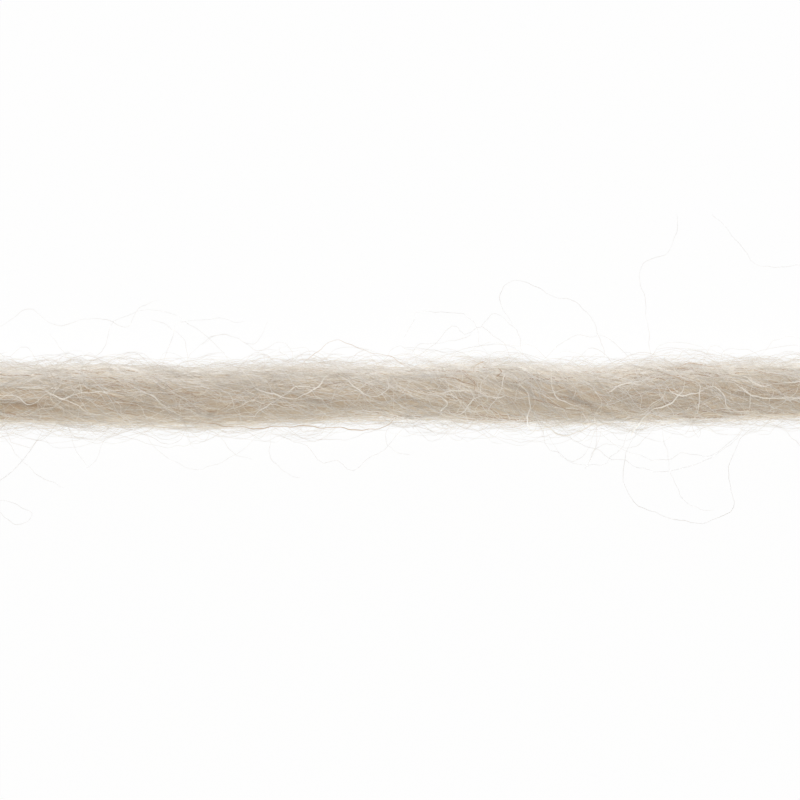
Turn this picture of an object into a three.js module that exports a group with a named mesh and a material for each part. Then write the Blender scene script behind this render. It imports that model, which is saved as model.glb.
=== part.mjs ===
// A cut length of loosely spun, single-ply wool knitting yarn, lying straight on a flat surface.
// Millimetres. +X runs along the strand, +Z is up, and the origin is the middle of its underside.
import * as THREE from "three";

// Driving dimensions
const STRAND_LENGTH = 50; // from cut end to cut end
const STRAND_DIAMETER = 3.2; // of the round body, its short nap included: 8 wraps to the inch
const SETTLE = 0.93; // height of the strand's centre over the surface, as a share of its radius
const TWIST_PITCH = 60; // length in which the fibres go once round: a low, Z-way twist
const LOCK_COUNT = 3; // soft locks of fibre that the carded web leaves in the ply
const LOCK_HEIGHT = 0.14; // how far a lock stands proud of the hollow beside it
const END_LENGTH = 1.8; // stretch over which each cut end draws in
const END_SHARE = 0.55; // radius of the cut face, as a share of the body's

const SIDES = 28; // facets round the strand
const STEPS_ALONG = 64; // rings along the strand
const RING_CROWDING = 0.35; // 0 spaces the rings evenly, and 1 crowds them into the ends

// Thick and thin places: the width of the strand there over its nominal diameter, and how far
// its middle strays to the side.
const THICK_AND_THIN = [
  { along: -25.0, width: 0.97, aside: -0.1 },
  { along: -20.0, width: 0.97, aside: -0.12 },
  { along: -15.0, width: 1.05, aside: -0.06 },
  { along: -10.0, width: 1.0, aside: -0.12 },
  { along: -5.0, width: 0.98, aside: 0.0 },
  { along: 0.0, width: 0.92, aside: 0.02 },
  { along: 5.0, width: 1.02, aside: 0.05 },
  { along: 10.0, width: 0.97, aside: 0.03 },
  { along: 12.5, width: 1.03, aside: 0.12 },
  { along: 17.5, width: 0.95, aside: 0.08 },
  { along: 25.0, width: 0.96, aside: 0.14 },
];

// The value of one column of THICK_AND_THIN at a place along the strand, eased between its rows.
function spunAt(along, column) {
  const passed = THICK_AND_THIN.filter((row) => row.along <= along).length;
  const next = THREE.MathUtils.clamp(passed, 1, THICK_AND_THIN.length - 1);
  const [from, to] = [THICK_AND_THIN[next - 1], THICK_AND_THIN[next]];
  const share = THREE.MathUtils.smoothstep(along, from.along, to.along);
  return THREE.MathUtils.lerp(from[column], to[column], share);
}

// How much a cut end is drawn in: 1 along the body, and a rounded shoulder down to the cut face.
function drawnIn(along) {
  const fromTip = STRAND_LENGTH / 2 - Math.abs(along);
  const inward = 1 - Math.min(1, fromTip / END_LENGTH);
  return END_SHARE + (1 - END_SHARE) * Math.sqrt(1 - inward ** 2);
}

// Half the strand's width at a place along it, before its ends draw in and its locks are raised.
function bodyRadius(along) {
  return (STRAND_DIAMETER / 2) * spunAt(along, "width");
}

// The height of the locks at a place on the surface: ridges that wind round with the twist.
function lockHeight(along, angle) {
  const turned = angle - (2 * Math.PI * along) / TWIST_PITCH;
  return (LOCK_HEIGHT / 2) * Math.cos(LOCK_COUNT * turned) * drawnIn(along);
}

// Places of the rings along the strand, closer together at its ends, where the shoulder curves.
function ringPlaces() {
  return Array.from({ length: STEPS_ALONG + 1 }, (_, step) => {
    const even = (2 * step) / STEPS_ALONG - 1;
    const crowded = Math.sin((even * Math.PI) / 2);
    return (STRAND_LENGTH / 2) * THREE.MathUtils.lerp(even, crowded, RING_CROWDING);
  });
}

// A turned body along X whose points are then moved: locks raised, the middle set aside, and the
// underside settled flat on the surface that it lies on.
function strandGeometry() {
  const half = STRAND_LENGTH / 2;
  const profile = ringPlaces().map(
    (along) => new THREE.Vector2(bodyRadius(along) * drawnIn(along), along),
  );
  profile.unshift(new THREE.Vector2(0, -half));
  profile.push(new THREE.Vector2(0, half));

  const geometry = new THREE.LatheGeometry(profile, SIDES);
  geometry.rotateZ(-Math.PI / 2); // a lathe turns about Y, and the strand lies along X

  const points = geometry.getAttribute("position");
  for (let i = 0; i < points.count; i++) {
    const along = points.getX(i);
    const angle = Math.atan2(points.getZ(i), points.getY(i));
    const turned = Math.hypot(points.getY(i), points.getZ(i));
    const radius = turned > 0 ? turned + lockHeight(along, angle) : 0;
    const aside = spunAt(along, "aside") + radius * Math.cos(angle);
    const height = SETTLE * bodyRadius(along) + radius * Math.sin(angle);
    points.setXYZ(i, along, aside, Math.max(0, height));
  }
  geometry.computeBoundingBox();
  const middle = geometry.boundingBox.getCenter(new THREE.Vector3());
  geometry.translate(-middle.x, -middle.y, 0);
  geometry.computeVertexNormals();
  return geometry;
}

const undyedWool = new THREE.MeshStandardMaterial({
  name: "undyed_wool",
  color: new THREE.Color().setRGB(0.77, 0.71, 0.62, THREE.SRGBColorSpace),
  roughness: 0.95,
  metalness: 0,
});

const strand = new THREE.Mesh(strandGeometry(), undyedWool);
strand.name = "yarn_strand";

const knittingYarn = new THREE.Group();
knittingYarn.add(strand);

export default knittingYarn;
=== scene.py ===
# %% [markdown]
# # A strand of wool knitting yarn
#
# The object is one cut length of soft, undyed, single-ply wool. On the real thing a thick sliver of
# combed fleece is given a low twist, so its body is thousands of fine fibres that run almost straight
# along it, and some of them wander over the others or spring clear of the strand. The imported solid
# already has the strand's size, its thick and thin places and its flat underside. This lesson lays
# the fibres on it. All lengths here are in millimetres until a mesh is made, because a fibre is a
# few hundredths of a millimetre thick.

# %% Load the frame
import math

import bpy
import numpy as np
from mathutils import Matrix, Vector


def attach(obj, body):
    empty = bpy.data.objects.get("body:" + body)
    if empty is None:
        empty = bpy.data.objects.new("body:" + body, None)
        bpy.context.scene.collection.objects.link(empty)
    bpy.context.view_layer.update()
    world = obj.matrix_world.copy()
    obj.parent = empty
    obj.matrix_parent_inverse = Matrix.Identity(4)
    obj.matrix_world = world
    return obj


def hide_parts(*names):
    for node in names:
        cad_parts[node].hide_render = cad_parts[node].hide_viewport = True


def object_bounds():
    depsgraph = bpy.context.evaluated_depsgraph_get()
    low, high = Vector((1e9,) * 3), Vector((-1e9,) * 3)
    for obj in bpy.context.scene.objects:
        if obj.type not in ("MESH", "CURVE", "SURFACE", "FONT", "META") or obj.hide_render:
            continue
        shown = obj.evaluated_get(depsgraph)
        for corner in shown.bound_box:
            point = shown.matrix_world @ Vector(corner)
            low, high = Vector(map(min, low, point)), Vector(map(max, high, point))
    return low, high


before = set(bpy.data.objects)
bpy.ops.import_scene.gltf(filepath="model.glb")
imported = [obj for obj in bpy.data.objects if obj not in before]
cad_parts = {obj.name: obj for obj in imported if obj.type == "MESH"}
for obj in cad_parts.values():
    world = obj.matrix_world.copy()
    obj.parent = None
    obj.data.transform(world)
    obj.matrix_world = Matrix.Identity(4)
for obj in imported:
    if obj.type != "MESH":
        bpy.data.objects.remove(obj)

MM = 0.001  # one millimetre, in metres
CAD_NODE = "yarn_strand"

cad_low, cad_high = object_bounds()
strand_length = (cad_high.x - cad_low.x) / MM
strand_height = (cad_high.z - cad_low.z) / MM
half_length = strand_length / 2
print(f"strand {strand_length:.1f} mm long and {strand_height:.2f} mm high")

# %% [markdown]
# ## The camera
#
# The strand is seen from straight above, close enough that four fifths of it fill the view from side
# to side. A short lens so near would bend the strand's ends away, so a long lens looks down from
# farther off. With no turn at all a camera looks down -Z with +Y at the top of its view.

# %% Camera
VIEW_WIDTH = 40.0
VIEW_BELOW = 0.2  # the strand lies this much above the middle of the view
LENS = 200.0

camera_data = bpy.data.cameras.new("studio_camera")
camera_data.lens = LENS
camera = bpy.data.objects.new("studio_camera", camera_data)
bpy.context.scene.collection.objects.link(camera)
camera_distance = VIEW_WIDTH * LENS / camera_data.sensor_width
camera.location = (0, -VIEW_BELOW * MM, (strand_height / 2 + camera_distance) * MM)
bpy.context.scene.camera = camera
print(f"camera {camera_distance:.0f} mm above the strand")

# %% [markdown]
# ## Where the strand runs
#
# Every fibre needs to know three things about the strand at its own place: where the middle is, how
# thick the body is, and which way the fibres slant. The first two are read off the rings of points
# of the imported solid. Those rings are a little way apart, so the run between them is smoothed.

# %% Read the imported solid
END_DRAW = 1.8  # the solid draws in over this length at each cut end, and its rings there don't count
RUN_STEPS = 1001
SOFTENING = 61  # steps over which the run is smoothed

cad_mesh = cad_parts[CAD_NODE].data
cad_points = np.empty(3 * len(cad_mesh.vertices))
cad_mesh.vertices.foreach_get("co", cad_points)
cad_points = cad_points.reshape(-1, 3) / MM

fine_along = np.linspace(-half_length, half_length, RUN_STEPS)


def read_run():
    """The middle's place to the side and above the floor, and the radius, at each fine_along."""
    ring_of = cad_points[:, 0].round(3)
    rings = []
    for along in np.unique(ring_of):
        if abs(along) > half_length - END_DRAW:
            continue
        ring = cad_points[ring_of == along]
        low, high = ring[:, 1].min(), ring[:, 1].max()
        radius = (high - low) / 2
        rings.append((along, (low + high) / 2, ring[:, 2].max() - radius, radius))
    rings = np.array(rings)
    columns = [np.interp(fine_along, rings[:, 0], rings[:, column]) for column in (1, 2, 3)]
    soft = np.hanning(SOFTENING) / np.hanning(SOFTENING).sum()
    return [np.convolve(np.pad(column, SOFTENING // 2, "edge"), soft, "valid") for column in columns]


fine_aside, fine_middle, fine_radius = read_run()
print(f"radius {fine_radius.min():.2f} to {fine_radius.max():.2f} mm")

# %% [markdown]
# ## The twist
#
# On real yarn the twist gathers in the thin places and leaves the thick ones almost straight, and
# one pitch for the whole strand would look like rope. So the slant of the fibres is a short table.
# Following the slant from one end to the other gives the angle through which the twist has turned.

# %% The twist
TWIST = (
    # along, slant in degrees: positive winds the Z way
    (-25, 4),
    (-18, 4),
    (-13, 12),
    (-9, 9),
    (-5, 13),
    (-1, 19),
    (3, 17),
    (6.5, 28),
    (9, 22),
    (12, 12),
    (16, 20),
    (20, 11),
    (25, 9),
)

twist_along, twist_degrees = np.array(TWIST, float).T
fine_slant = np.radians(np.interp(fine_along, twist_along, twist_degrees))
fine_turn = np.cumsum(np.tan(fine_slant) / fine_radius) * (fine_along[1] - fine_along[0])
fine_turn -= fine_turn[len(fine_turn) // 2]


def read_along(values):
    """A function that reads these values at any place along the strand."""
    return lambda along: np.interp(along, fine_along, values)


aside_at = read_along(fine_aside)
middle_at = read_along(fine_middle)
radius_at = read_along(fine_radius)
slant_at = read_along(fine_slant)
turn_at = read_along(fine_turn)
print(f"the twist turns {math.degrees(np.ptp(fine_turn)):.0f} degrees from end to end")

# %% [markdown]
# ## Locks and hollows
#
# The body isn't a plain rod. The fleece holds together in soft locks, and between them the surface
# sinks a little and looks darker. Two tables describe that: broad ridges that run the whole length
# with the twist, and single hollows, each set where it lies on the strand. A sculpted surface would
# show the same, but the fibres cover it, so it is enough to move the fibres by these heights. The
# darker look of the hollows is painted shade, put into the tone of the laid fibres there.

# %% Ridges and hollows
RIDGES = (
    # how many round the strand, drift in radians for each mm, height, phase
    (2, 0.05, 0.010, 0.4),
    (3, -0.09, 0.010, 2.1),
    (5, 0.13, 0.006, 4.0),
    (8, -0.21, 0.005, 1.2),
    (13, 0.34, 0.004, 5.3),
)

HOLLOWS = (
    # along, aside, half its length, half its width, depth
    (-19.6, -0.5, 1.6, 0.18, 0.22),
    (-17.8, -0.8, 1.4, 0.16, 0.17),
    (-16.6, -0.1, 1.4, 0.14, 0.14),
    (-13.2, -0.5, 1.8, 0.15, 0.10),
    (-10.2, 0.0, 1.6, 0.15, 0.10),
    (-4.6, -0.2, 2.4, 0.18, 0.12),
    (0.8, -0.4, 2.4, 0.18, 0.12),
    (5.6, 0.6, 1.8, 0.16, 0.13),
    (8.9, -0.4, 2.2, 0.20, 0.17),
    (16.8, 0.1, 1.6, 0.15, 0.15),
    (19.6, 0.5, 1.4, 0.14, 0.14),
)


def angle_of(along, aside):
    """The angle round the strand of a place seen from above."""
    return np.arccos(np.clip((aside - aside_at(along)) / radius_at(along), -1, 1))


def lock_height(along, angle):
    """How far the locks raise or sink the surface at a place on it."""
    turned = angle - turn_at(along)
    height = np.zeros(np.broadcast(along, angle).shape)
    for count, drift, rise, phase in RIDGES:
        height = height + rise * np.cos(count * turned + drift * along + phase)
    for place, aside, half_long, half_wide, depth in HOLLOWS:
        middle = angle_of(place, aside) - turn_at(place)
        across = np.angle(np.exp(1j * (turned - middle))) * radius_at(along) / half_wide
        lengthways = (along - place) / half_long
        height = height - depth * np.exp(-(across**2) - lengthways**2)
    return height


print(f"{len(RIDGES)} kinds of ridge and {len(HOLLOWS)} hollows")

# %% [markdown]
# ## Points and faces on the strand
#
# A fibre's points are given as a place along the strand, an angle round it and a depth below the
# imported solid's surface. Its outer side looks out of the strand, but on the upper half it also leans
# up. The nap on real wool scatters the light and evens it out from side to side, and a side that
# leans up catches the light overhead in much the same way, so the strand's rims stay smooth.

# %% Points on the strand
FACE_LEAN = 3.0  # how strongly a fibre's outer side leans up, on the strand's upper half


def on_strand(along, angle, depth):
    """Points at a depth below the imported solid's surface; a negative depth is above it."""
    radius = radius_at(along) + lock_height(along, angle) - depth
    side = aside_at(along) + radius * np.cos(angle)
    up = middle_at(along) + radius * np.sin(angle)
    return np.stack(np.broadcast_arrays(along, side, up), axis=-1)


def outward_at(angle):
    """The way that a fibre's outer side looks, at an angle round the strand."""
    up = np.sin(angle)
    lean = FACE_LEAN * (up > 0) * (1 - up)
    out = np.stack((np.zeros_like(angle), np.cos(angle), up + lean), axis=-1)
    return out / np.linalg.norm(out, axis=-1, keepdims=True)


top_height = on_strand(0.0, math.pi / 2, 0.0)[2]
print(f"halfway along, the strand's top is {top_height:.2f} mm high")

# %% [markdown]
# ## The colour of the wool
#
# Undyed fleece is never one colour. Most fibres are a warm beige, some are cream and a few are tan.
# A tone from 0 to 1 is stored for each point of a fibre in the fibre's own UV map: the map's height
# is the tone, and its width runs along the fibre. A colour ramp turns tone into colour. There are
# two ramps, because the fine fibres that stand clear of the body look greyer than those laid in it.

# %% Tones of the wool
FIBRE_MAP = "OFBake"
LAID_TONES = (
    # tone, red, green, blue
    (0.00, 0.43, 0.25, 0.13),
    (0.25, 0.59, 0.41, 0.25),
    (0.55, 0.71, 0.58, 0.42),
    (0.80, 0.82, 0.72, 0.57),
    (1.00, 0.98, 0.92, 0.83),
)
CLEAR_TONES = (
    # tone, red, green, blue
    (0.00, 0.42, 0.31, 0.21),
    (0.30, 0.62, 0.54, 0.44),
    (0.60, 0.77, 0.69, 0.58),
    (1.00, 0.96, 0.92, 0.87),
)

print(f"{len(LAID_TONES)} tones for the body and {len(CLEAR_TONES)} for the fibres clear of it")

# %% [markdown]
# ## The finish of the wool
#
# A wool fibre has a dull gloss, and its scales give it a soft white sheen at glancing angles, which
# pales the sides of the strand. Its colour is a little uneven along its length. A slow noise along
# the fibre is added to the tone for that, and the ramp is moved up by half of the most that it can
# add, which keeps the mean colour.

# %% The gloss of the wool
WOOL_ROUGHNESS = 0.5
WOOL_GLOSS = 0.7
WOOL_SHEEN = 1.0
SHEEN_ROUGHNESS = 0.65


def wool_material(name):
    """A new material, its node tree and its shader, with the finish that all the wool shares."""
    material = bpy.data.materials.new(name)
    material.use_nodes = True
    tree = material.node_tree
    shader = tree.nodes["Principled BSDF"]
    shader.inputs["Roughness"].default_value = WOOL_ROUGHNESS
    shader.inputs["Specular IOR Level"].default_value = WOOL_GLOSS
    shader.inputs["Sheen Weight"].default_value = WOOL_SHEEN
    shader.inputs["Sheen Roughness"].default_value = SHEEN_ROUGHNESS
    return material, tree, shader


print(f"all the wool has a roughness of {WOOL_ROUGHNESS}")

# %% Wool materials
TONE_UNEVENNESS = 0.16
MOTTLE_SCALE = (9, 40, 1)  # along a fibre, and from one tone to the next


def stretched_noise(tree, place, scale):
    """A noise that is read at a stretched place."""
    stretch = tree.nodes.new("ShaderNodeMapping")
    stretch.inputs["Scale"].default_value = scale
    tree.links.new(place, stretch.inputs["Vector"])
    noise = tree.nodes.new("ShaderNodeTexNoise")
    noise.inputs["Scale"].default_value = 1.0
    tree.links.new(stretch.outputs["Vector"], noise.inputs["Vector"])
    return noise


def colour_by(tree, shader, value, rows):
    """Gives the shader a colour from a ramp of these rows, by this value."""
    ramp = tree.nodes.new("ShaderNodeValToRGB")
    elements = ramp.color_ramp.elements
    while len(elements) < len(rows):
        elements.new(0.5)
    for element, (place, *colour) in zip(elements, rows):
        element.position = place
        element.color = (*colour, 1)
    tree.links.new(value, ramp.inputs["Fac"])
    tree.links.new(ramp.outputs["Color"], shader.inputs["Base Color"])


def fibre_wool(name, tones):
    """Wool whose tone is the height of each of its points on the fibre map."""
    material, tree, shader = wool_material(name)
    fibre_map = tree.nodes.new("ShaderNodeUVMap")
    fibre_map.uv_map = FIBRE_MAP
    parts = tree.nodes.new("ShaderNodeSeparateXYZ")
    tree.links.new(fibre_map.outputs["UV"], parts.inputs["Vector"])
    mottle = stretched_noise(tree, fibre_map.outputs["UV"], MOTTLE_SCALE)

    unevenness = tree.nodes.new("ShaderNodeMath")
    unevenness.operation = "MULTIPLY_ADD"
    tree.links.new(mottle.outputs["Fac"], unevenness.inputs[0])
    unevenness.inputs[1].default_value = TONE_UNEVENNESS
    tree.links.new(parts.outputs["Y"], unevenness.inputs[2])

    middle = TONE_UNEVENNESS / 2
    rows = [(min(1, tone + middle), *colour) for tone, *colour in tones]
    colour_by(tree, shader, unevenness.outputs["Value"], rows)
    return material


laid_wool = fibre_wool("laid_wool", LAID_TONES)
clear_wool = fibre_wool("clear_wool", CLEAR_TONES)
print("two materials for the fibres:", laid_wool.name, "and", clear_wool.name)

# %% [markdown]
# ## The heart of the strand
#
# Under the fibres that show lie hundreds more, packed so tight that no light comes through. They
# could all be modelled, but only a streak of colour shows here and there between the fibres on top.
# So the heart is one closed tube, thinner than the strand, that follows its locks and hollows.

# %% The heart's points
HEART_DEPTH = 0.53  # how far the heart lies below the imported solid's surface
HEART_SIDES = 72
HEART_RINGS = 300
HEART_END = 0.3  # how far its ends stop short of the cut ends
HEART_SHOULDER = 1.2  # the length over which its ends are rounded off
HEART_ROUNDING = 0.5  # how much thinner that makes the very end
HEART_GROOVES = (
    # how many round the strand, drift in radians for each mm, height, phase
    (34, 0.5, 0.012, 0.3),
    (47, -0.8, 0.010, 1.9),
)


def heart_points():
    """The tube's points, ring by ring, and where each would be if the strand were untwisted."""
    along = np.linspace(HEART_END - half_length, half_length - HEART_END, HEART_RINGS)[:, None]
    angle = np.linspace(0, 2 * math.pi, HEART_SIDES, endpoint=False)[None, :]
    turned = angle - turn_at(along)
    grooves = sum(
        rise * np.cos(count * turned + drift * along + phase)
        for count, drift, rise, phase in HEART_GROOVES
    )
    inward = 1 - np.clip((half_length - HEART_END - np.abs(along)) / HEART_SHOULDER, 0, 1)
    rounding = HEART_ROUNDING * (1 - np.sqrt(1 - inward**2))
    points = on_strand(along, angle, HEART_DEPTH - grooves + rounding)
    points[..., 2] = np.maximum(points[..., 2], 0)
    radius = radius_at(along)
    untwisted = (along, radius * np.cos(turned), radius * np.sin(turned))
    return points, np.stack(np.broadcast_arrays(*untwisted), axis=-1)


print(f"the heart has {HEART_RINGS} rings of {HEART_SIDES} points")

# %% [markdown]
# ## The heart's wool
#
# What shows of the heart are streaks of beige and tan that wind with the twist. A noise read at the
# object's own coordinates would run straight along it, so each point of the heart also stores where
# it would be if the strand were untwisted. A noise stretched along that place makes the streaks.

# %% The heart's wool
STREAK_SCALE = (0.35, 9, 9)
STREAK_DETAIL = 3.0
HEART_STREAKS = (
    # noise, red, green, blue
    (0.3, 0.62, 0.46, 0.31),
    (0.5, 0.72, 0.58, 0.42),
    (0.7, 0.79, 0.68, 0.53),
)


def streaked_wool():
    """Beige wool in streaks that wind with the twist."""
    material, tree, shader = wool_material("heart_wool")
    place = tree.nodes.new("ShaderNodeAttribute")
    place.attribute_name = "untwisted"
    streaks = stretched_noise(tree, place.outputs["Vector"], STREAK_SCALE)
    streaks.inputs["Detail"].default_value = STREAK_DETAIL
    colour_by(tree, shader, streaks.outputs["Fac"], HEART_STREAKS)
    return material


heart_wool = streaked_wool()
print("a third material for the heart:", heart_wool.name)

# %% [markdown]
# ## Making a piece
#
# The heart and the fibres are all tubes that follow a run of their own, so each is worked out point
# by point and not bent by hand. They share three helpers: one joins rings of points into faces that
# look outwards, one gives a mesh its fibre map, and one makes the mesh a piece of the object.

# %% Helpers for a piece
def ring_faces(rings, sides):
    """Quads of a tube, its points counted ring by ring, that face outwards."""
    ring = np.arange(rings - 1)[:, None] * sides
    side = np.arange(sides)[None, :]
    after = (side + 1) % sides
    return np.stack((ring + side, ring + after, ring + sides + after, ring + sides + side), axis=-1)


def set_map(mesh, by_vertex):
    """Gives a mesh the fibre map, from one place on it for each vertex."""
    corners = np.empty(len(mesh.loops), np.int32)
    mesh.loops.foreach_get("vertex_index", corners)
    layer = mesh.uv_layers.new(name=FIBRE_MAP)
    layer.uv.foreach_set("vector", by_vertex[corners].astype(np.float32).ravel())


def new_piece(name, mesh, material):
    """An object at the origin for a finished mesh, riding on the root body."""
    mesh.materials.append(material)
    piece = bpy.data.objects.new(name, mesh)
    bpy.context.scene.collection.objects.link(piece)
    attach(piece, "root")
    return piece


print(f"the sides of the heart are {ring_faces(HEART_RINGS, HEART_SIDES).size // 4} quads")

# %% Heart tube
HEART_MARGIN = 0.02  # what is left free round the heart on its map


def make_heart():
    points, untwisted = heart_points()
    quads = ring_faces(HEART_RINGS, HEART_SIDES).reshape(-1, 4)
    side = np.arange(HEART_SIDES)
    after = (side + 1) % HEART_SIDES
    last_ring = (HEART_RINGS - 1) * HEART_SIDES
    tips = np.full(HEART_SIDES, HEART_RINGS * HEART_SIDES)
    start_cap = np.stack((tips, after, side), axis=-1)
    end_cap = np.stack((tips + 1, last_ring + side, last_ring + after), axis=-1)

    def with_tips(grid):
        return np.concatenate((grid.reshape(-1, 3), [grid[0].mean(axis=0), grid[-1].mean(axis=0)]))

    mesh = bpy.data.meshes.new("yarn_heart")
    faces = quads.tolist() + start_cap.tolist() + end_cap.tolist()
    mesh.from_pydata((with_tips(points) * MM).tolist(), [], faces)
    mesh.shade_smooth()
    stored = mesh.attributes.new("untwisted", "FLOAT_VECTOR", "POINT")
    stored.data.foreach_set("vector", with_tips(untwisted).astype(np.float32).ravel())
    across = np.tile(np.linspace(HEART_MARGIN, 1 - HEART_MARGIN, HEART_SIDES), HEART_RINGS)
    lengthways = np.repeat(np.linspace(HEART_MARGIN, 1 - HEART_MARGIN, HEART_RINGS), HEART_SIDES)
    places = np.stack((lengthways, across), axis=-1)
    tip_places = [(HEART_MARGIN / 2, 0.5), (1 - HEART_MARGIN / 2, 0.5)]
    set_map(mesh, np.concatenate((places, tip_places)))
    return new_piece("yarn_heart", mesh, heart_wool)


heart = make_heart()
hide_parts(CAD_NODE)
print(f"heart {len(heart.data.polygons)} faces")

# %% [markdown]
# ## One fibre
#
# A fibre is a tube with three sides, which is enough for something so thin. A tube needs a pair of
# directions across it at each of its points, and would twist and pinch if they were chosen afresh
# each time. A fibre that lies on the body turns one flat side the way that the strand's surface
# looks there, so that neighbours catch the same light and the body looks smooth. A fibre that springs
# clear has its pair carried along from point to point, and only tilted to stay square to it.

# %% Directions across a fibre
UP = (0.0, 0.0, 1.0)
ASIDE = (0.0, 1.0, 0.0)
STEEP = 0.8  # a fibre that starts more upright than this can't carry a direction that looks up


def unit(vectors):
    return vectors / np.maximum(np.linalg.norm(vectors, axis=-1, keepdims=True), 1e-9)


def square_to(direction, ahead):
    """A direction tilted until it is square to the way ahead."""
    return unit(direction - (direction * ahead).sum(axis=-1, keepdims=True) * ahead)


def across_pairs(points, outward):
    """Two directions square to each fibre at each of its points."""
    ahead = unit(np.gradient(points, axis=1))
    if outward is not None:
        first = square_to(outward, ahead)
    else:
        first = np.empty_like(points)
        carried = np.where(np.abs(ahead[:, 0, 2:]) < STEEP, UP, ASIDE)
        for step in range(points.shape[1]):
            carried = square_to(carried, ahead[:, step])
            first[:, step] = carried
    return first, np.cross(ahead, first)


climbing = unit(np.array((1.0, 0.0, 1.0)))
print("up, tilted square to a fibre that climbs:", square_to(np.array(UP), climbing).round(2))

# %% [markdown]
# ## A piece of many fibres
#
# One object for each fibre would be slow to work with. So the fibres of a group all have the same
# number of points and are worked out together as arrays, and a few groups become one mesh. Each fibre
# narrows to its tips, and they are closed.

# %% Fibre tubes
SIDES = 3
TIP_SHARE = 0.35  # thickness of a fibre's tip, as a share of its middle
TIP_LENGTH = 0.12  # share of a fibre over which it narrows to each tip
ROW = 0.02  # height of one fibre on the fibre map
ROW_MARGIN = 0.01  # what is left free at each end of its row


def fibre_arrays(group):
    """Points, quads, end triangles and map places of one group of fibres."""
    points, thickness, tone = group["points"], group["thickness"], group["tone"]
    count, steps = points.shape[:2]
    share = np.linspace(0, 1, steps)
    from_tip = np.clip(np.minimum(share, 1 - share) / TIP_LENGTH, 0, 1)
    taper = TIP_SHARE + (1 - TIP_SHARE) * np.sqrt(from_tip)
    radius = thickness.reshape(count, -1) / 2 * taper
    points = points.copy()
    points[..., 2] = np.maximum(points[..., 2], radius)  # none goes through the floor
    first, second = across_pairs(points, group["outward"])
    turn = ((np.arange(SIDES) + 0.5) * 2 * math.pi / SIDES)[None, None, :, None]
    around = np.cos(turn) * first[:, :, None] + np.sin(turn) * second[:, :, None]
    corners = points[:, :, None] + radius[..., None, None] * around

    start = (np.arange(count) * steps * SIDES)[:, None, None, None]
    quads = (start + ring_faces(steps, SIDES)[None]).reshape(-1, 4)
    near = start[:, 0, 0] + np.array([(2, 1, 0)])
    far = start[:, 0, 0] + (steps - 1) * SIDES + np.array([(0, 1, 2)])

    height = tone[..., None] * (1 - ROW) + ROW * (np.arange(SIDES) + 0.5) / SIDES
    width = ROW_MARGIN + (1 - 2 * ROW_MARGIN) * share[None, :, None]
    places = np.stack(np.broadcast_arrays(width, height), axis=-1).reshape(-1, 2)
    return corners.reshape(-1, 3), quads, np.concatenate((near, far)), places


def make_fibres(name, wool, *groups, flat_sided=False):
    """One piece of all the fibres in these groups."""
    points, quads, ends, places = zip(*[fibre_arrays(group) for group in groups])
    starts = np.cumsum([0, *map(len, points)])
    quads = np.concatenate([part + start for part, start in zip(quads, starts)])
    ends = np.concatenate([part + start for part, start in zip(ends, starts)])
    mesh = bpy.data.meshes.new(name)
    mesh.from_pydata((np.concatenate(points) * MM).tolist(), [], quads.tolist() + ends.tolist())
    if flat_sided:
        mesh.shade_flat()
    else:
        mesh.shade_smooth()
    set_map(mesh, np.concatenate(places))
    fibres = sum(len(group["points"]) for group in groups)
    print(f"{name}: {fibres} fibres, {2 * len(quads) + len(ends)} triangles")
    return new_piece(name, mesh, wool)


print(f"a tube has {SIDES} sides and narrows over {TIP_LENGTH:.0%} of its length at each end")

# %% [markdown]
# ## How a fibre travels
#
# Wool has crimp, and each fibre wanders a little to either side of the twist. So a fibre is walked:
# it starts at a place on the strand, takes a short step, and turns as it goes. Its heading is the
# twist's slant there, plus its own slant, plus a few slow waves that add up to its crimp. Its depth
# below the surface is worked out separately. A fibre that would run past a cut end is cut off there.

# %% Walking the fibres
WAVELENGTH_SPREAD = (0.7, 1.4)  # of one fibre, as shares of the typical wavelength
SWAY_SPREAD = (0.4, 1.3)
FEWEST_POINTS = 3  # that a fibre keeps when it is cut off


def waves(chance, count, steps, stride, wavelengths, sway):
    """A heading, in radians, that swings from side to side as each fibre goes."""
    travelled = np.arange(steps)[None, :] * stride[:, None]
    swing = np.zeros((count, steps))
    for typical in wavelengths:
        wavelength = typical * chance.uniform(*WAVELENGTH_SPREAD, count)[:, None]
        phase = chance.uniform(0, 2 * math.pi, count)[:, None]
        size = sway * chance.uniform(*SWAY_SPREAD, count)[:, None]
        swing += size * np.sin(2 * math.pi * travelled / wavelength + phase)
    return swing


def walk(start_along, start_angle, slant, stride, swing, way):
    """Places along and angles round the strand of fibres that are walked a step at a time."""
    along, angle = np.empty_like(swing), np.empty_like(swing)
    along[:, 0], angle[:, 0] = start_along, start_angle
    for step in range(swing.shape[1] - 1):
        heading = slant_at(along[:, step]) + slant + swing[:, step]
        along[:, step + 1] = along[:, step] + way * stride * np.cos(heading)
        turned = way * stride * np.sin(heading) / radius_at(along[:, step])
        angle[:, step + 1] = angle[:, step] + turned
    return along, angle


def cut_to_length(chance, overhang, along, *others):
    """Ends each fibre at the cut ends, give or take some, and spreads its points over what is left."""
    count, steps = along.shape
    limit = half_length + chance.uniform(*overhang, count)
    for fibre in np.flatnonzero(np.abs(along).max(axis=1) > limit):
        kept = np.flatnonzero(np.abs(along[fibre]) <= limit[fibre])
        if len(kept) < FEWEST_POINTS:
            kept = np.argsort(np.abs(along[fibre]))[:FEWEST_POINTS]
        spread = np.linspace(kept.min(), kept.max(), steps)
        for rows in (along, *others):
            rows[fibre] = np.interp(spread, np.arange(steps), rows[fibre])


walked, _ = walk(0.0, 0.0, 0.0, np.ones(1), np.zeros((1, 11)), 1.0)
print(f"ten steps of 1 mm from the middle reach {walked[0, -1]:.1f} mm along")

# %% A group of fibres
THICKNESS_SPREAD = (0.75, 1.3)  # of one fibre, as shares of its group's thickness


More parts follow.
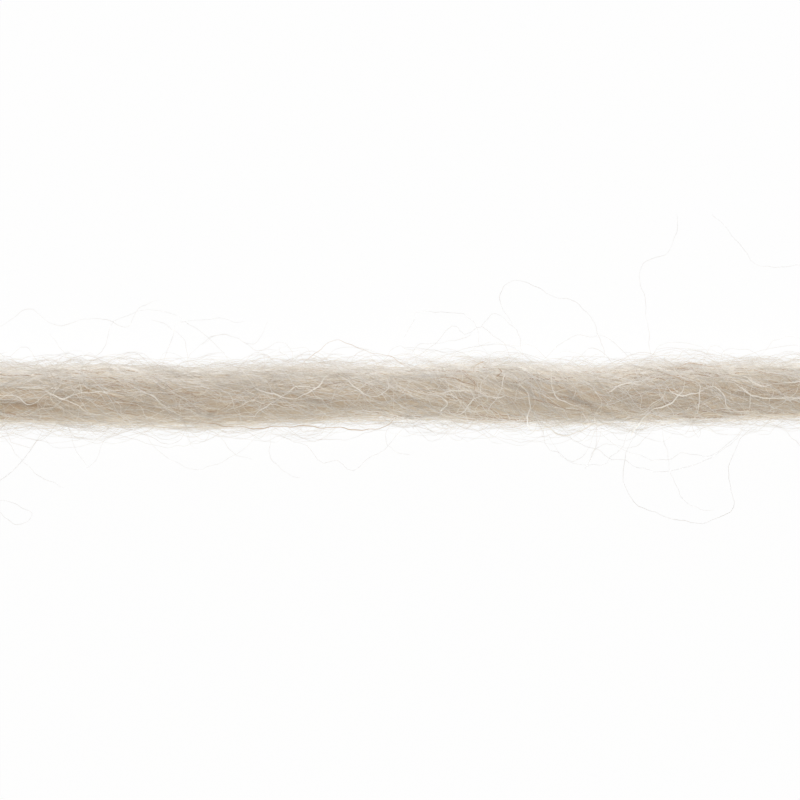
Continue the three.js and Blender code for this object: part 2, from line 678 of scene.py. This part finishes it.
def fibres_of(chance, points, thickness, tones, outward=None):
    """A group of fibres: their points, and a thickness and a tone for each."""
    count, steps = points.shape[:2]
    return {
        "points": points,
        "thickness": thickness * chance.uniform(*THICKNESS_SPREAD, count),
        "tone": np.clip(chance.normal(*tones, (count, 1)) * np.ones(steps), 0, 1),
        "outward": outward,
    }


def gathered(angle, share):
    """Angles round the strand, drawn towards its far side."""
    return angle - share * np.sin(angle)


print("a fibre is {:.2f} to {:.2f} times as thick as its group says".format(*THICKNESS_SPREAD))

# %% [markdown]
# ## A laid fibre
#
# A laid fibre comes up out of the strand, shows for a while and goes back in, which hides both its
# ends. Many keep together in tufts with nearly one slant, because fleece is combed in locks. A fibre
# is painted browner in a hollow, as painted shade for the shade of others that it lies in, and painted
# paler at the strand's sides, as painted light for the light that comes through the nap. A lamp from
# the side would pale them too, but then every fibre would throw a shadow on the next.

# %% A group of laid fibres
LAID_SPREAD = (0.75, 1.3)  # of one fibre, as shares of its group's length
LAID_OVERHANG = (-0.5, 0.25)  # from short of the cut ends to past them
LAID_STARTS = (0.6, 0.2)  # how far before one end, and short of the other, as shares of a length
LAID_CRIMP = (1.8, 4.0, 9.0)  # wavelengths
DIVE_SHARE = 0.16  # share of a fibre over which it goes in at each end
DIVE_DEPTH = 0.3
ROLL = 0.010  # how far a fibre rises and falls along its way
ROLL_TURNS = (1, 3)  # how many times it does so
TUFT_LENGTH = 0.22  # spread of a tuft's starts along the strand, as a share of a fibre's length
TUFT_WIDTH = 0.25  # their spread round the strand, in radians
TUFT_SLANT = 0.85  # how much of its tuft's slant a fibre takes
OWN_SLANT = 0.4  # how much it keeps of its own
TUFT_TINT = 0.010  # how far the tones of tufts differ
# painted shade: a laid fibre's tone is made browner by the depth of a hollow, in place of the shade
# there
HOLLOW_PAINTED_SHADE = 1.4  # how much browner a fibre is for each millimetre of a hollow's depth
# painted light: a fibre's tone is made paler at the strand's sides, most on the far side, in place of
# light coming through the nap
BODY_PAINTED_LIGHT = (0.12, 0.30)  # how much paler a fibre is at both sides, and how much more at the far one
SHELL_PAINTED_LIGHT = (0.08, 0.10)  # the same for the shell
PAINTED_LIGHT_FADE = 2  # how fast that paleness fades out below the strand's middle


def laid_group(
    chance, count, length, steps, depths, slants, sway, thickness, tones,
    crowding=1.0, gather=0.0, tufts=None, paler=BODY_PAINTED_LIGHT,
):
    """Fibres laid on the body. Crowding above 1 keeps more of them near the deeper depth."""
    stride = length * chance.uniform(*LAID_SPREAD, count) / (steps - 1)
    before, short = LAID_STARTS
    earliest, latest = -half_length - before * length, half_length - short * length
    start_along = chance.uniform(earliest, latest, count)
    start_angle = gathered(chance.uniform(0, 2 * math.pi, count), gather)
    slant = np.radians(chance.normal(0, slants, count))
    tint = np.zeros(count)
    if tufts:
        tuft = chance.integers(0, tufts, count)
        start_along = start_along[tuft] + chance.normal(0, TUFT_LENGTH * length, count)
        start_along = np.clip(start_along, earliest, latest)
        start_angle = start_angle[tuft] + chance.normal(0, TUFT_WIDTH, count)
        slant = TUFT_SLANT * slant[tuft] + OWN_SLANT * slant
        tint = chance.normal(0, TUFT_TINT, tufts)[tuft]
    swing = waves(chance, count, steps, stride, LAID_CRIMP, sway)
    along, angle = walk(start_along, start_angle, slant, stride, swing, np.ones(count))

    share = np.linspace(0, 1, steps)[None, :]
    dive = np.clip(1 - np.minimum(share, 1 - share) / DIVE_SHARE, 0, 1) ** 2
    deep, shallow = depths
    shown = (deep + (shallow - deep) * chance.random(count) ** crowding)[:, None]
    turns = chance.uniform(*ROLL_TURNS, count)[:, None]
    rolling = ROLL * np.sin(2 * math.pi * share * turns + start_angle[:, None])
    depth = shown + rolling + DIVE_DEPTH * dive
    cut_to_length(chance, LAID_OVERHANG, along, angle, depth)
    group = fibres_of(chance, on_strand(along, angle, depth), thickness, tones, outward_at(angle))
    # painted shade: a browner tone where the locks sink the surface
    painted_shade_and_light = np.minimum(lock_height(along, angle), 0) * HOLLOW_PAINTED_SHADE
    # painted light: a paler tone at the strand's sides, more on the far side, faded out below its
    # middle
    side = np.cos(angle)
    above = np.clip(1 + PAINTED_LIGHT_FADE * np.sin(angle), 0, 1)
    painted_shade_and_light = painted_shade_and_light + above * (paler[0] * np.abs(side) + paler[1] * np.maximum(side, 0))
    group["tone"] = np.clip(group["tone"] + tint[:, None] + painted_shade_and_light, 0, 1)
    return group


print(f"a laid fibre goes in over {DIVE_SHARE:.0%} of its length at each end")

# %% [markdown]
# ## The laid fibres
#
# Three close layers cover the heart, the last of them in tufts. The deepest keeps tightest to the
# twist and is the brownest, so the gaps in the others look warm. Over them lies a sparse shell of
# fine, pale fibres, out to the strand's full width. More of it gathers on the far side, where the
# strand looks softest. Light comes through it at the strand's sides, so the edge fades instead of
# ending in a line.

# %% Laid fibres
SEED = 7  # all that is left to chance follows from this number

chance = np.random.default_rng(SEED)
INNER = (
    # count, length, points, depths, slants, sway, thickness, tones
    (1250, 12, 18, (0.48, 0.44), 10.0, 0.14, 0.050, (0.49, 0.07)),
)
OUTER = (
    (1300, 8, 14, (0.43, 0.40), 16.0, 0.23, 0.030, (0.52, 0.12)),
    (350, 6, 13, (0.36, 0.10), 18.0, 0.25, 0.022, (0.70, 0.10)),
)
TUFTED = (
    (2650, 6.5, 12, (0.42, 0.37), 21.0, 0.25, 0.026, (0.57, 0.13)),
)
TUFTS = 340
SHELL = (
    # the same, then the crowding, then how far the fibres gather on the far side
    (350, 6, 13, (0.36, -0.02), 18.0, 0.25, 0.023, (0.76, 0.10), 1.3),
    (450, 6, 13, (0.34, 0.00), 18.0, 0.25, 0.022, (0.86, 0.10), 1.0, 0.9),
)


def laid_piece(name, wool, rows, **more):
    """One piece of laid fibres, from a row of settings for each of its groups."""
    groups = [laid_group(chance, *row, **more) for row in rows]
    return make_fibres(name, wool, *groups, flat_sided=True)


laid_inner = laid_piece("laid_fibres_inner", laid_wool, INNER)
laid_outer = laid_piece("laid_fibres_outer", laid_wool, OUTER)
laid_tufts = laid_piece("laid_fibres_tufts", laid_wool, TUFTED, tufts=TUFTS)
shell = laid_piece("shell_fibres", clear_wool, SHELL, paler=SHELL_PAINTED_LIGHT)

# %% [markdown]
# ## A fibre that rises
#
# Other fibres don't lie down. They rise out of the body and come back, or end in the air. They are
# walked like the laid ones, with more sway, and rise in a bow between the two places where they go
# in. Hair particles could do this too, but a walked fibre rises just as high as it is told to, and
# it is a plain mesh from the start.

# %% A group of rising fibres
ROOT_DEPTH = 0.45  # where a rising fibre leaves the body
RISING_SPREAD = (0.6, 1.5)  # of one fibre, as shares of its group's length
RISING_OVERHANG = (0.0, 0.6)
RISING_CRIMP = (1.3, 3.0, 7.0)  # wavelengths
RISING_GATHER = 0.4  # how much more of them grow on the strand's far side
BOW_SHAPE = 0.8  # 1 is half a sine wave, and less is steeper at the roots


def rising_group(
    chance, count, length, steps, bows, slants, sway, thickness, tones, loose=0.0, outward=False,
):
    """Fibres that bow out to between two heights over the solid. Loose is the share with a free end."""
    stride = length * chance.uniform(*RISING_SPREAD, count) / (steps - 1)
    start_along = chance.uniform(-half_length, half_length, count)
    start_angle = gathered(chance.uniform(0, 2 * math.pi, count), RISING_GATHER)
    slant = np.radians(chance.normal(0, slants, count))
    way = np.where(chance.random(count) < 0.5, 1.0, -1.0)
    swing = waves(chance, count, steps, stride, RISING_CRIMP, sway)
    along, angle = walk(start_along, start_angle, slant, stride, swing, way)

    share = np.linspace(0, 1, steps)[None, :]
    low, high = bows
    bow = (low + (high - low) * chance.random(count) ** 2)[:, None]
    free = (chance.random(count) < loose)[:, None]
    rise = np.sin(share * math.pi / np.where(free, 2, 1)) ** BOW_SHAPE
    depth = ROOT_DEPTH - (bow + ROOT_DEPTH) * np.abs(rise)
    cut_to_length(chance, RISING_OVERHANG, along, angle, depth)
    faces_out = outward_at(angle) if outward else None
    return fibres_of(chance, on_strand(along, angle, depth), thickness, tones, faces_out)


print(f"a rising fibre starts {ROOT_DEPTH} mm inside the packed solid")

# %% [markdown]
# ## Fibres that wander
#
# Some fibres cross the laid ones at wide angles, in long curves. Most are pale. About a quarter are
# thicker and tan, lie deeper and keep closer to the twist.

# %% Wandering fibres
WANDERING = (
    # count, length, points, lowest and highest bow, slants, sway, thickness, tones
    (640, 5.2, 22, (-0.36, -0.10), 42, 0.42, 0.031, (0.9, 0.10)),
    (240, 4.0, 18, (-0.37, -0.27), 20, 0.30, 0.036, (0.18, 0.10)),
)

groups = [rising_group(chance, *row, outward=True) for row in WANDERING]
wandering = make_fibres("wandering_fibres", laid_wool, *groups, flat_sided=True)

# %% [markdown]
# ## The nap
#
# The nap is thousands of short, fine fibres that blur the strand's outline. The ones that rise
# highest are the finest, and about a third end in the air. One piece would have too many triangles,
# so there are two.

# %% Nap
NAP = (
    # count, length, points, lowest and highest bow, slants, sway, thickness, tones, loose
    (750, 3.6, 12, (-0.25, 0.10), 18, 0.38, 0.022, (0.66, 0.12), 0.3),
    (1250, 3.2, 12, (0.02, 0.50), 20, 0.42, 0.014, (0.60, 0.14), 0.3),
)
FINE_NAP = (
    (900, 3.6, 12, (0.15, 0.90), 24, 0.45, 0.011, (0.50, 0.14), 0.3),
    (150, 6.0, 24, (0.10, 1.00), 22, 0.40, 0.011, (0.40, 0.14), 0.4),
    (50, 9.0, 36, (0.50, 3.00), 25, 0.42, 0.010, (0.40, 0.14), 0.4),
)

nap = make_fibres("nap_fibres", clear_wool, *[rising_group(chance, *row) for row in NAP])
fine_nap = make_fibres("fine_nap_fibres", clear_wool, *[rising_group(chance, *row) for row in FINE_NAP])

# %% [markdown]
# ## Listed strays
#
# Chance can't place the fibres that a viewer notices one by one, so these are listed. Each is
# a short list of the places that it passes, seen from above. The first table has those of the
# body's own wool: pale ones that cross it in open waves, tan ones among them, a long one along its
# front edge and a loop behind it.

# %% Strays that cross the body
CROSSING = (
    # tone, thickness, then each place that it passes: along, aside
    (1.00, 0.050, (-20.4, -0.3), (-19.2, 0.0), (-18.4, -0.4), (-17.3, 0.1), (-16.8, -0.1),
     (-15.6, 0.2), (-14.4, 0.1)),
    (0.90, 0.045, (-19.5, 0.3), (-18.1, 0.4), (-17.1, 0.0), (-16.0, -0.5), (-15.2, -0.9),
     (-14.4, -0.9)),
    (0.85, 0.037, (-19.1, -0.6), (-18.7, -1.0), (-17.8, -0.6), (-16.7, -0.7), (-15.6, -1.4)),
    (0.85, 0.041, (-16.6, 1.4), (-16.0, 0.9), (-15.3, 1.1), (-14.2, 0.8), (-13.2, 1.0), (-12.6, 1.0)),
    (0.90, 0.041, (-13.3, 0.3), (-12.5, 0.1), (-11.6, -0.5), (-10.8, -0.6), (-10.0, -0.9)),
    (0.85, 0.041, (-9.6, 1.1), (-9.4, 0.8), (-9.6, 0.3), (-10.3, 0.1)),
    (1.00, 0.057, (-7.9, 1.4), (-7.1, 0.4), (-6.0, 0.0), (-5.1, -0.1), (-4.2, 0.4), (-3.4, 1.1),
     (-2.9, 1.0), (-2.1, 0.3), (-1.2, 0.0), (-0.6, 0.3), (-0.7, 0.9)),
    (0.95, 0.042, (-7.3, -1.1), (-6.5, -0.4), (-5.6, 0.1), (-5.2, 0.5), (-4.4, 0.4), (-3.6, 0.4)),
    (1.00, 0.047, (1.4, 0.1), (2.5, 0.2), (3.5, 0.3), (4.3, 0.0), (5.2, 0.0)),
    (1.00, 0.051, (1.4, 0.2), (2.3, -0.4), (2.0, -0.8), (2.6, -1.0), (3.3, -0.7), (3.4, -0.4),
     (4.2, 0.0)),
    (0.95, 0.052, (4.0, 0.1), (4.0, 0.6), (4.4, 1.0), (5.2, 1.1), (5.0, 0.4), (4.8, -0.1), (4.4, -0.7)),
    (1.00, 0.055, (5.4, 0.7), (6.1, 0.4), (6.5, -0.4), (6.3, -1.3), (6.6, -1.7), (7.3, -1.6),
     (7.9, -1.9), (9.5, -1.5)),
    (0.95, 0.046, (7.6, 1.3), (7.5, 0.6), (7.7, 0.1), (8.4, -0.4), (9.2, -0.6)),
    (0.90, 0.045, (7.8, 1.2), (8.6, 0.6), (8.6, -0.2)),
    (0.95, 0.055, (10.3, 0.2), (11.3, 0.6), (12.0, 0.6)),
    (0.95, 0.052, (13.6, 1.3), (14.2, 0.9), (14.8, 0.6), (14.9, 0.0), (14.7, -0.9)),
    (1.00, 0.062, (14.1, 0.8), (14.0, 0.2), (13.5, -0.3), (12.6, -0.7), (12.0, -1.2), (11.6, -2.0)),
    (1.00, 0.057, (13.0, 0.8), (13.5, 0.2), (14.7, 0.1), (15.5, 0.5), (16.0, 0.1), (16.3, -0.5),
     (17.3, -0.8)),
    (1.00, 0.054, (15.8, 0.7), (16.9, 0.5), (17.5, 0.0), (18.5, -0.1), (19.5, -0.1), (21.0, -0.1)),
    (1.00, 0.052, (16.0, 1.2), (17.2, 0.9), (18.1, 0.5), (19.2, 0.7), (20.4, 0.6)),
    (0.90, 0.042, (-16.8, 0.9), (-16.9, 0.6), (-17.2, 0.1)),
    (0.90, 0.042, (-18.8, 0.5), (-18.5, 0.7), (-18.1, 0.8), (-17.8, 0.7)),
    (0.90, 0.042, (-8.1, 1.1), (-7.9, 0.7), (-7.6, 0.3), (-7.2, 0.1)),
    (0.90, 0.042, (-5.8, 0.1), (-5.2, 0.4)),
    (0.90, 0.042, (16.9, 0.6), (17.1, 0.3), (17.4, 0.1), (17.4, -0.3), (17.3, -0.6)),
    (0.15, 0.055, (-19.6, -0.9), (-19.1, -0.9)),
    (0.30, 0.034, (13.9, 1.5), (14.8, 1.6), (15.5, 1.5), (16.0, 1.4)),
    (0.30, 0.040, (-10.4, -1.3), (-9.3, -1.4), (-7.6, -1.6), (-5.2, -1.5), (-3.0, -1.6), (-1.0, -1.6),
     (-0.3, -1.2)),
    (0.35, 0.018, (-5.0, 1.3), (-4.2, 2.2), (-3.1, 2.8), (-1.9, 2.3), (-0.6, 2.0), (0.4, 1.4)),
    (0.25, 0.034, (3.7, 1.2), (3.8, 1.6), (4.2, 1.7)),
    (0.30, 0.034, (12.8, 1.3), (13.7, 0.9), (14.9, 0.7)),
    (0.25, 0.034, (-15.7, 0.9), (-14.6, 0.9), (-13.9, 0.7)),
    (0.25, 0.034, (-11.3, 0.6), (-10.7, 0.3), (-9.9, 0.2)),
    (0.12, 0.038, (1.8, 0.9), (2.9, 0.8), (3.7, 0.5)),
    (0.15, 0.042, (6.5, -0.1), (7.5, -0.4), (9.0, -0.8)),
    (0.15, 0.045, (4.9, 1.4), (5.1, 1.2), (4.8, 1.0), (5.2, 0.9), (4.9, 0.7)),
)

print(f"{len(CROSSING)} strays are of the body's own wool")

# %% [markdown]
# ## Loops that stand clear
#
# The second table has the halo: fine loops that leave the strand and come back to it, and some that
# end in the air.

# %% Strays that stand clear
CLEAR_STRAYS = (
    # behind the strand
    (0.50, 0.009, (-23.6, 1.2), (-22.4, 2.3), (-20.5, 3.2), (-18.3, 4.3), (-17.7, 3.7), (-15.0, 3.9),
     (-13.7, 3.5), (-13.0, 4.5), (-12.2, 4.8)),
    (0.50, 0.009, (-12.5, 3.8), (-11.0, 3.0), (-10.6, 1.2)),
    (0.50, 0.008, (-10.8, 1.2), (-10.0, 2.6), (-8.7, 3.1), (-7.5, 2.6), (-6.6, 3.8)),
    (0.45, 0.009, (-9.9, 2.6), (-8.8, 3.1), (-7.0, 2.3), (-5.8, 2.7), (-5.4, 1.2)),
    (0.50, 0.008, (0.4, 1.4), (0.9, 2.5), (2.4, 2.7), (3.6, 3.1)),
    (0.50, 0.008, (4.0, 3.4), (4.8, 4.1), (5.8, 3.3), (6.0, 1.3)),
    (0.35, 0.010, (5.6, 3.6), (5.3, 5.6), (6.0, 5.8), (7.5, 5.1), (9.0, 4.6), (10.0, 3.0), (10.2, 1.2)),
    (0.45, 0.009, (12.6, 1.2), (12.3, 4.8), (12.1, 6.5), (13.5, 7.3), (13.9, 9.2)),
    (0.50, 0.008, (15.7, 9.2), (16.8, 8.0), (18.0, 6.6), (20.3, 6.5), (22.4, 5.2), (23.4, 3.1),
     (23.6, 1.2)),
    (0.45, 0.009, (16.1, 1.4), (16.2, 2.2), (17.4, 2.3), (18.4, 1.4)),
    (0.50, 0.009, (-17.6, 3.1), (-17.2, 2.7), (-16.8, 2.1), (-16.6, 1.2)),
    # in front of it
    (0.50, 0.009, (-16.6, -1.4), (-15.8, -2.2), (-14.9, -2.3), (-13.6, -1.3), (-12.6, -1.2)),
    (0.50, 0.009, (-20.3, -1.6), (-18.3, -2.2), (-16.0, -2.1), (-15.2, -1.3)),
    (0.50, 0.009, (-13.9, -1.4), (-12.3, -2.0), (-10.8, -1.7), (-10.0, -1.3)),
    (0.35, 0.009, (-5.5, -1.3), (-4.5, -2.0), (-2.4, -2.1), (-1.0, -1.5)),
    (0.50, 0.009, (-0.1, -1.4), (1.3, -2.0), (2.6, -1.4)),
    (0.50, 0.009, (3.8, -1.4), (5.4, -2.2), (7.3, -2.0), (8.0, -1.4)),
    (0.35, 0.012, (14.0, 0.8), (13.9, 0.1), (13.1, -0.5), (12.1, -1.1), (11.7, -2.0), (11.2, -3.6),
     (11.5, -5.0), (13.5, -6.1), (15.6, -6.3), (16.8, -5.5), (16.5, -4.2), (16.7, -2.9), (17.9, -1.3)),
    (0.50, 0.008, (13.0, -1.2), (13.3, -2.5), (13.9, -4.6), (14.6, -5.5), (15.8, -5.7)),
    (0.45, 0.009, (12.9, -1.2), (12.3, -2.1), (11.5, -2.6), (10.2, -2.4), (9.6, -3.0)),
    (0.50, 0.009, (15.0, -1.2), (16.1, -1.9), (17.5, -1.8), (18.2, -1.2)),
    (0.45, 0.009, (-20.3, -5.2), (-19.2, -5.5), (-18.5, -5.9), (-19.2, -6.5), (-20.3, -5.6),
     (-22.2, -4.3), (-23.3, -2.7), (-23.5, -1.3)),
    (0.50, 0.008, (7.3, -1.2), (7.7, -2.5), (8.7, -3.3), (9.7, -2.0), (9.9, -1.2)),
    (0.50, 0.010, (17.6, -1.2), (19.2, -1.6), (19.7, -2.2), (20.4, -2.7)),
    (0.50, 0.009, (-20.6, -1.2), (-19.9, -2.0), (-18.5, -3.7), (-16.9, -4.6)),
    (0.50, 0.009, (-9.2, -1.4), (-8.6, -2.6), (-7.4, -3.2)),
    (0.50, 0.009, (-6.2, -1.3), (-6.4, -3.2), (-5.0, -4.1)),
    (0.50, 0.009, (-0.5, -1.4), (-0.6, -2.5), (0.5, -2.9)),
)

print(f"{len(CLEAR_STRAYS)} strays stand clear of the strand")

# %% [markdown]
# ## How a stray lies
#
# A smooth curve runs through the places of a stray. Its heights follow from where it is. Over the
# body a stray rests on the fibres below it. Past the body's side it leaves along the slope that it
# has there and sinks towards the floor.

# %% The way of a stray
STRAY_LIFT = 0.08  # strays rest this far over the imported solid's surface, on the fibres there
LEAVES_AT = 0.8  # share of the body's half width at which a stray stops following its curve
FALL = 3.0  # distance from the body in which a stray sinks by two thirds
LOWEST = 0.1  # the height that it sinks towards


def smooth_run(places, steps):
    """Evenly spread points on a smooth curve through these places."""
    places = np.array(places, float)
    gaps = np.linalg.norm(np.diff(places, axis=0), axis=1)
    reached = np.concatenate(([0], np.cumsum(gaps)))
    slopes = np.gradient(places, reached, axis=0, edge_order=2 if len(places) > 2 else 1)
    spots = np.linspace(0, reached[-1], steps)
    leg = np.clip(np.searchsorted(reached, spots, "right") - 1, 0, len(gaps) - 1)
    gap = gaps[leg][:, None]
    part = ((spots - reached[leg]) / gaps[leg])[:, None]
    start, end = places[leg], places[leg + 1]
    return (
        (1 + 2 * part) * (1 - part) ** 2 * start
        + part * (1 - part) ** 2 * gap * slopes[leg]
        + part**2 * (3 - 2 * part) * end
        - part**2 * (1 - part) * gap * slopes[leg + 1]
    )


def height_over(along, aside):
    """The height at which a stray rests over this place."""
    body = radius_at(along) + lock_height(along, angle_of(along, aside)) + STRAY_LIFT
    out = np.abs(aside - aside_at(along)) / body
    crown = math.sqrt(1 - LEAVES_AT**2)
    over = np.sqrt(1 - np.minimum(out, LEAVES_AT) ** 2)
    past = np.maximum(out - LEAVES_AT, 0)
    over = over * np.exp(-past * LEAVES_AT / crown**2)
    sunk = np.exp(-past * body / FALL)
    return (middle_at(along) + body * over) * sunk + LOWEST * (1 - sunk)


print(f"5 mm to the strand's side, a stray is {height_over(0.0, 5.0):.1f} mm over the floor")

# %% [markdown]
# ## The strays
#
# Wool is crimped, so each stray also sways a little in two short wavelengths. It swells and thins on
# its way, because a real fibre isn't round and shows a wider and a narrower side by turns.

# %% Strays
STRAY_STEPS = 60
STRAY_CRIMP = 0.05
STRAY_WAVELENGTHS = (0.7, 1.6)
STRAY_SWELL = 0.35
SWELL_WAVELENGTH = 2.3


def stray_group(chance, table):
    """The fibres of one of the two tables."""
    points, thickness, tone = [], [], []
    for stray_tone, stray_thickness, *places in table:
        run = smooth_run(places, STRAY_STEPS)
        length = np.linalg.norm(np.diff(run, axis=0), axis=1).sum()
        share = np.linspace(0, 1, STRAY_STEPS)
        for wavelength in STRAY_WAVELENGTHS:
            phase = chance.uniform(0, 2 * math.pi)
            swing = np.sin(2 * math.pi * share * length / wavelength + phase)
            ahead = unit(np.gradient(run, axis=0))
            across = np.stack((-ahead[:, 1], ahead[:, 0]), axis=-1)
            run = run + STRAY_CRIMP * wavelength / 2 * swing[:, None] * across
        height = height_over(run[:, 0], run[:, 1])
        points.append(np.column_stack((run, height)))
        phase = chance.uniform(0, 2 * math.pi)
        swell = np.sin(2 * math.pi * share * length / SWELL_WAVELENGTH + phase)
        thickness.append(stray_thickness * (1 + STRAY_SWELL * swell))
        tone.append(stray_tone)
    points = np.array(points)
    up = np.broadcast_to(UP, points.shape)
    tone = np.array(tone)[:, None] * np.ones(STRAY_STEPS)
    return {"points": points, "thickness": np.array(thickness), "tone": tone, "outward": up}


crossing = make_fibres("crossing_fibres", laid_wool, stray_group(chance, CROSSING), flat_sided=True)
strays = make_fibres("stray_fibres", clear_wool, stray_group(chance, CLEAR_STRAYS))

# %% [markdown]
# ## The cut ends
#
# Where the strand was cut, hundreds of fibre tips stand side by side and splay a little. A flat cap
# would look like felt, whatever its finish, so the tips are made. They start inside the heart,
# spread evenly over its section, and run out through its rounded end.

# %% Cut ends
END_FIBRES = 520
END_STEPS = 7
END_ROOT = 2.2  # how far back from the cut the end fibres start
END_REACH = (-0.15, 0.45)  # how far past the cut they run
END_SPLAY = 0.16
END_THICKNESS = 0.045
END_TONES = (0.62, 0.12)


def end_group(chance, end):
    """Fibres that stand in the cut end at one end of the strand, 1 or -1."""
    share = np.linspace(0, 1, END_STEPS)[None, :]
    radius = np.sqrt(chance.random(END_FIBRES))[:, None]
    angle = chance.uniform(0, 2 * math.pi, END_FIBRES)[:, None]
    reach = chance.uniform(*END_REACH, END_FIBRES)[:, None]
    along = end * (half_length - END_ROOT + (END_ROOT + reach) * share)
    full = radius_at(along) - HEART_DEPTH
    splay = END_SPLAY * chance.normal(0, 1, (2, END_FIBRES, 1)) * share**2
    side = aside_at(along) + full * radius * np.cos(angle) + splay[0]
    up = middle_at(along) + full * radius * np.sin(angle) + splay[1]
    points = np.stack((along, side, up), axis=-1)
    return fibres_of(chance, points, END_THICKNESS, END_TONES)


cut_ends = make_fibres("cut_end_fibres", laid_wool, end_group(chance, -1), end_group(chance, 1))

# %% [markdown]
# ## The floor
#
# The strand lies on a bright white table. White paper alone would show grey shadows beside the
# strand, so the table gives off light of its own and throws hardly any back.

# %% Floor
FLOOR_SIZE = 1200.0
FLOOR_DROP = 0.02  # how far it lies below the strand, to leave room for a lamp between them
FLOOR_GREY = 0.05
FLOOR_LIGHT = 0.95


def make_floor():
    """The white table, as one large plane that lights itself."""
    bpy.ops.object.select_all(action="DESELECT")
    bpy.ops.mesh.primitive_plane_add(size=FLOOR_SIZE * MM)
    floor = bpy.context.object
    floor.name = "floor"
    floor.location.z = -FLOOR_DROP * MM
    material = bpy.data.materials.new("white_table")
    material.use_nodes = True
    shader = material.node_tree.nodes["Principled BSDF"]
    shader.inputs["Base Color"].default_value = (FLOOR_GREY, FLOOR_GREY, FLOOR_GREY, 1)
    shader.inputs["Roughness"].default_value = 1.0
    shader.inputs["Specular IOR Level"].default_value = 0.0
    shader.inputs["Emission Color"].default_value = (1, 1, 1, 1)
    shader.inputs["Emission Strength"].default_value = FLOOR_LIGHT
    floor.data.materials.append(material)


make_floor()
print(f"the floor is {FLOOR_SIZE:.0f} mm wide")

# %% [markdown]
# ## The light
#
# A small warm lamp hangs high overhead. A cooler and weaker one stands behind the strand, and the
# weakest in front of it. The floor can't be brighter than white, so a wide lamp that the camera
# doesn't see lies just under the strand and shines up at its sides. The room itself is dim and
# white. That leaves the middle of the strand the darkest and its edges bright, together with the
# painted light in the laid fibres' tone at the strand's sides.

# %% Lights and colours
ROOM_LIGHT = 0.15
LAMPS = (
    # name, aside, height, size, power in watts, colour
    ("softbox_above", 0, 500, 120, 1.26, (1.0, 0.975, 0.93)),
    ("softbox_behind", 380, 180, 300, 0.60, (0.95, 0.95, 1.0)),
    ("softbox_front", -380, 220, 300, 0.14, (0.90, 0.96, 1.0)),
    ("light_table", 0, -0.01, 200, 0.215, (0.86, 0.94, 1.0)),
)


def make_lamp(name, aside, height, size, power, colour):
    """A square soft light that faces the strand, and that the camera doesn't see."""
    data = bpy.data.lights.new(name, "AREA")
    data.shape = "SQUARE"
    data.size = size * MM
    data.energy = power
    data.color = colour
    lamp = bpy.data.objects.new(name, data)
    bpy.context.scene.collection.objects.link(lamp)
    lamp.location = (0, aside * MM, height * MM)
    lamp.rotation_euler = (-math.atan2(aside, height), 0, 0)
    lamp.visible_camera = False


def light_room():
    """Dim white light from all round."""
    world = bpy.data.worlds.new("room")
    world.use_nodes = True
    background = world.node_tree.nodes["Background"]
    background.inputs["Color"].default_value = (1, 1, 1, 1)
    background.inputs["Strength"].default_value = ROOM_LIGHT
    bpy.context.scene.world = world


for row in LAMPS:
    make_lamp(*row)
light_room()
bpy.context.scene.view_settings.view_transform = "Standard"
print(f"{len(LAMPS)} lamps")

# %% [markdown]
# ## The cord's route
#
# The strand is a cut length of limp yarn, with bare ends. A cord is measured on one closed tube, and
# thousands of fibres aren't one, so the heart is the tube and the fibres are pieces on it. Its route
# is the strand's own middle, which drifts a little to each side, read at evenly spread points along
# the heart's length.

ROUTE_POINTS = 26

route_along = np.linspace(HEART_END - half_length, half_length - HEART_END, ROUTE_POINTS)
route = np.stack((route_along, aside_at(route_along), middle_at(route_along)), axis=-1) * MM
print(f"a cord with {len(route)} points on its route")
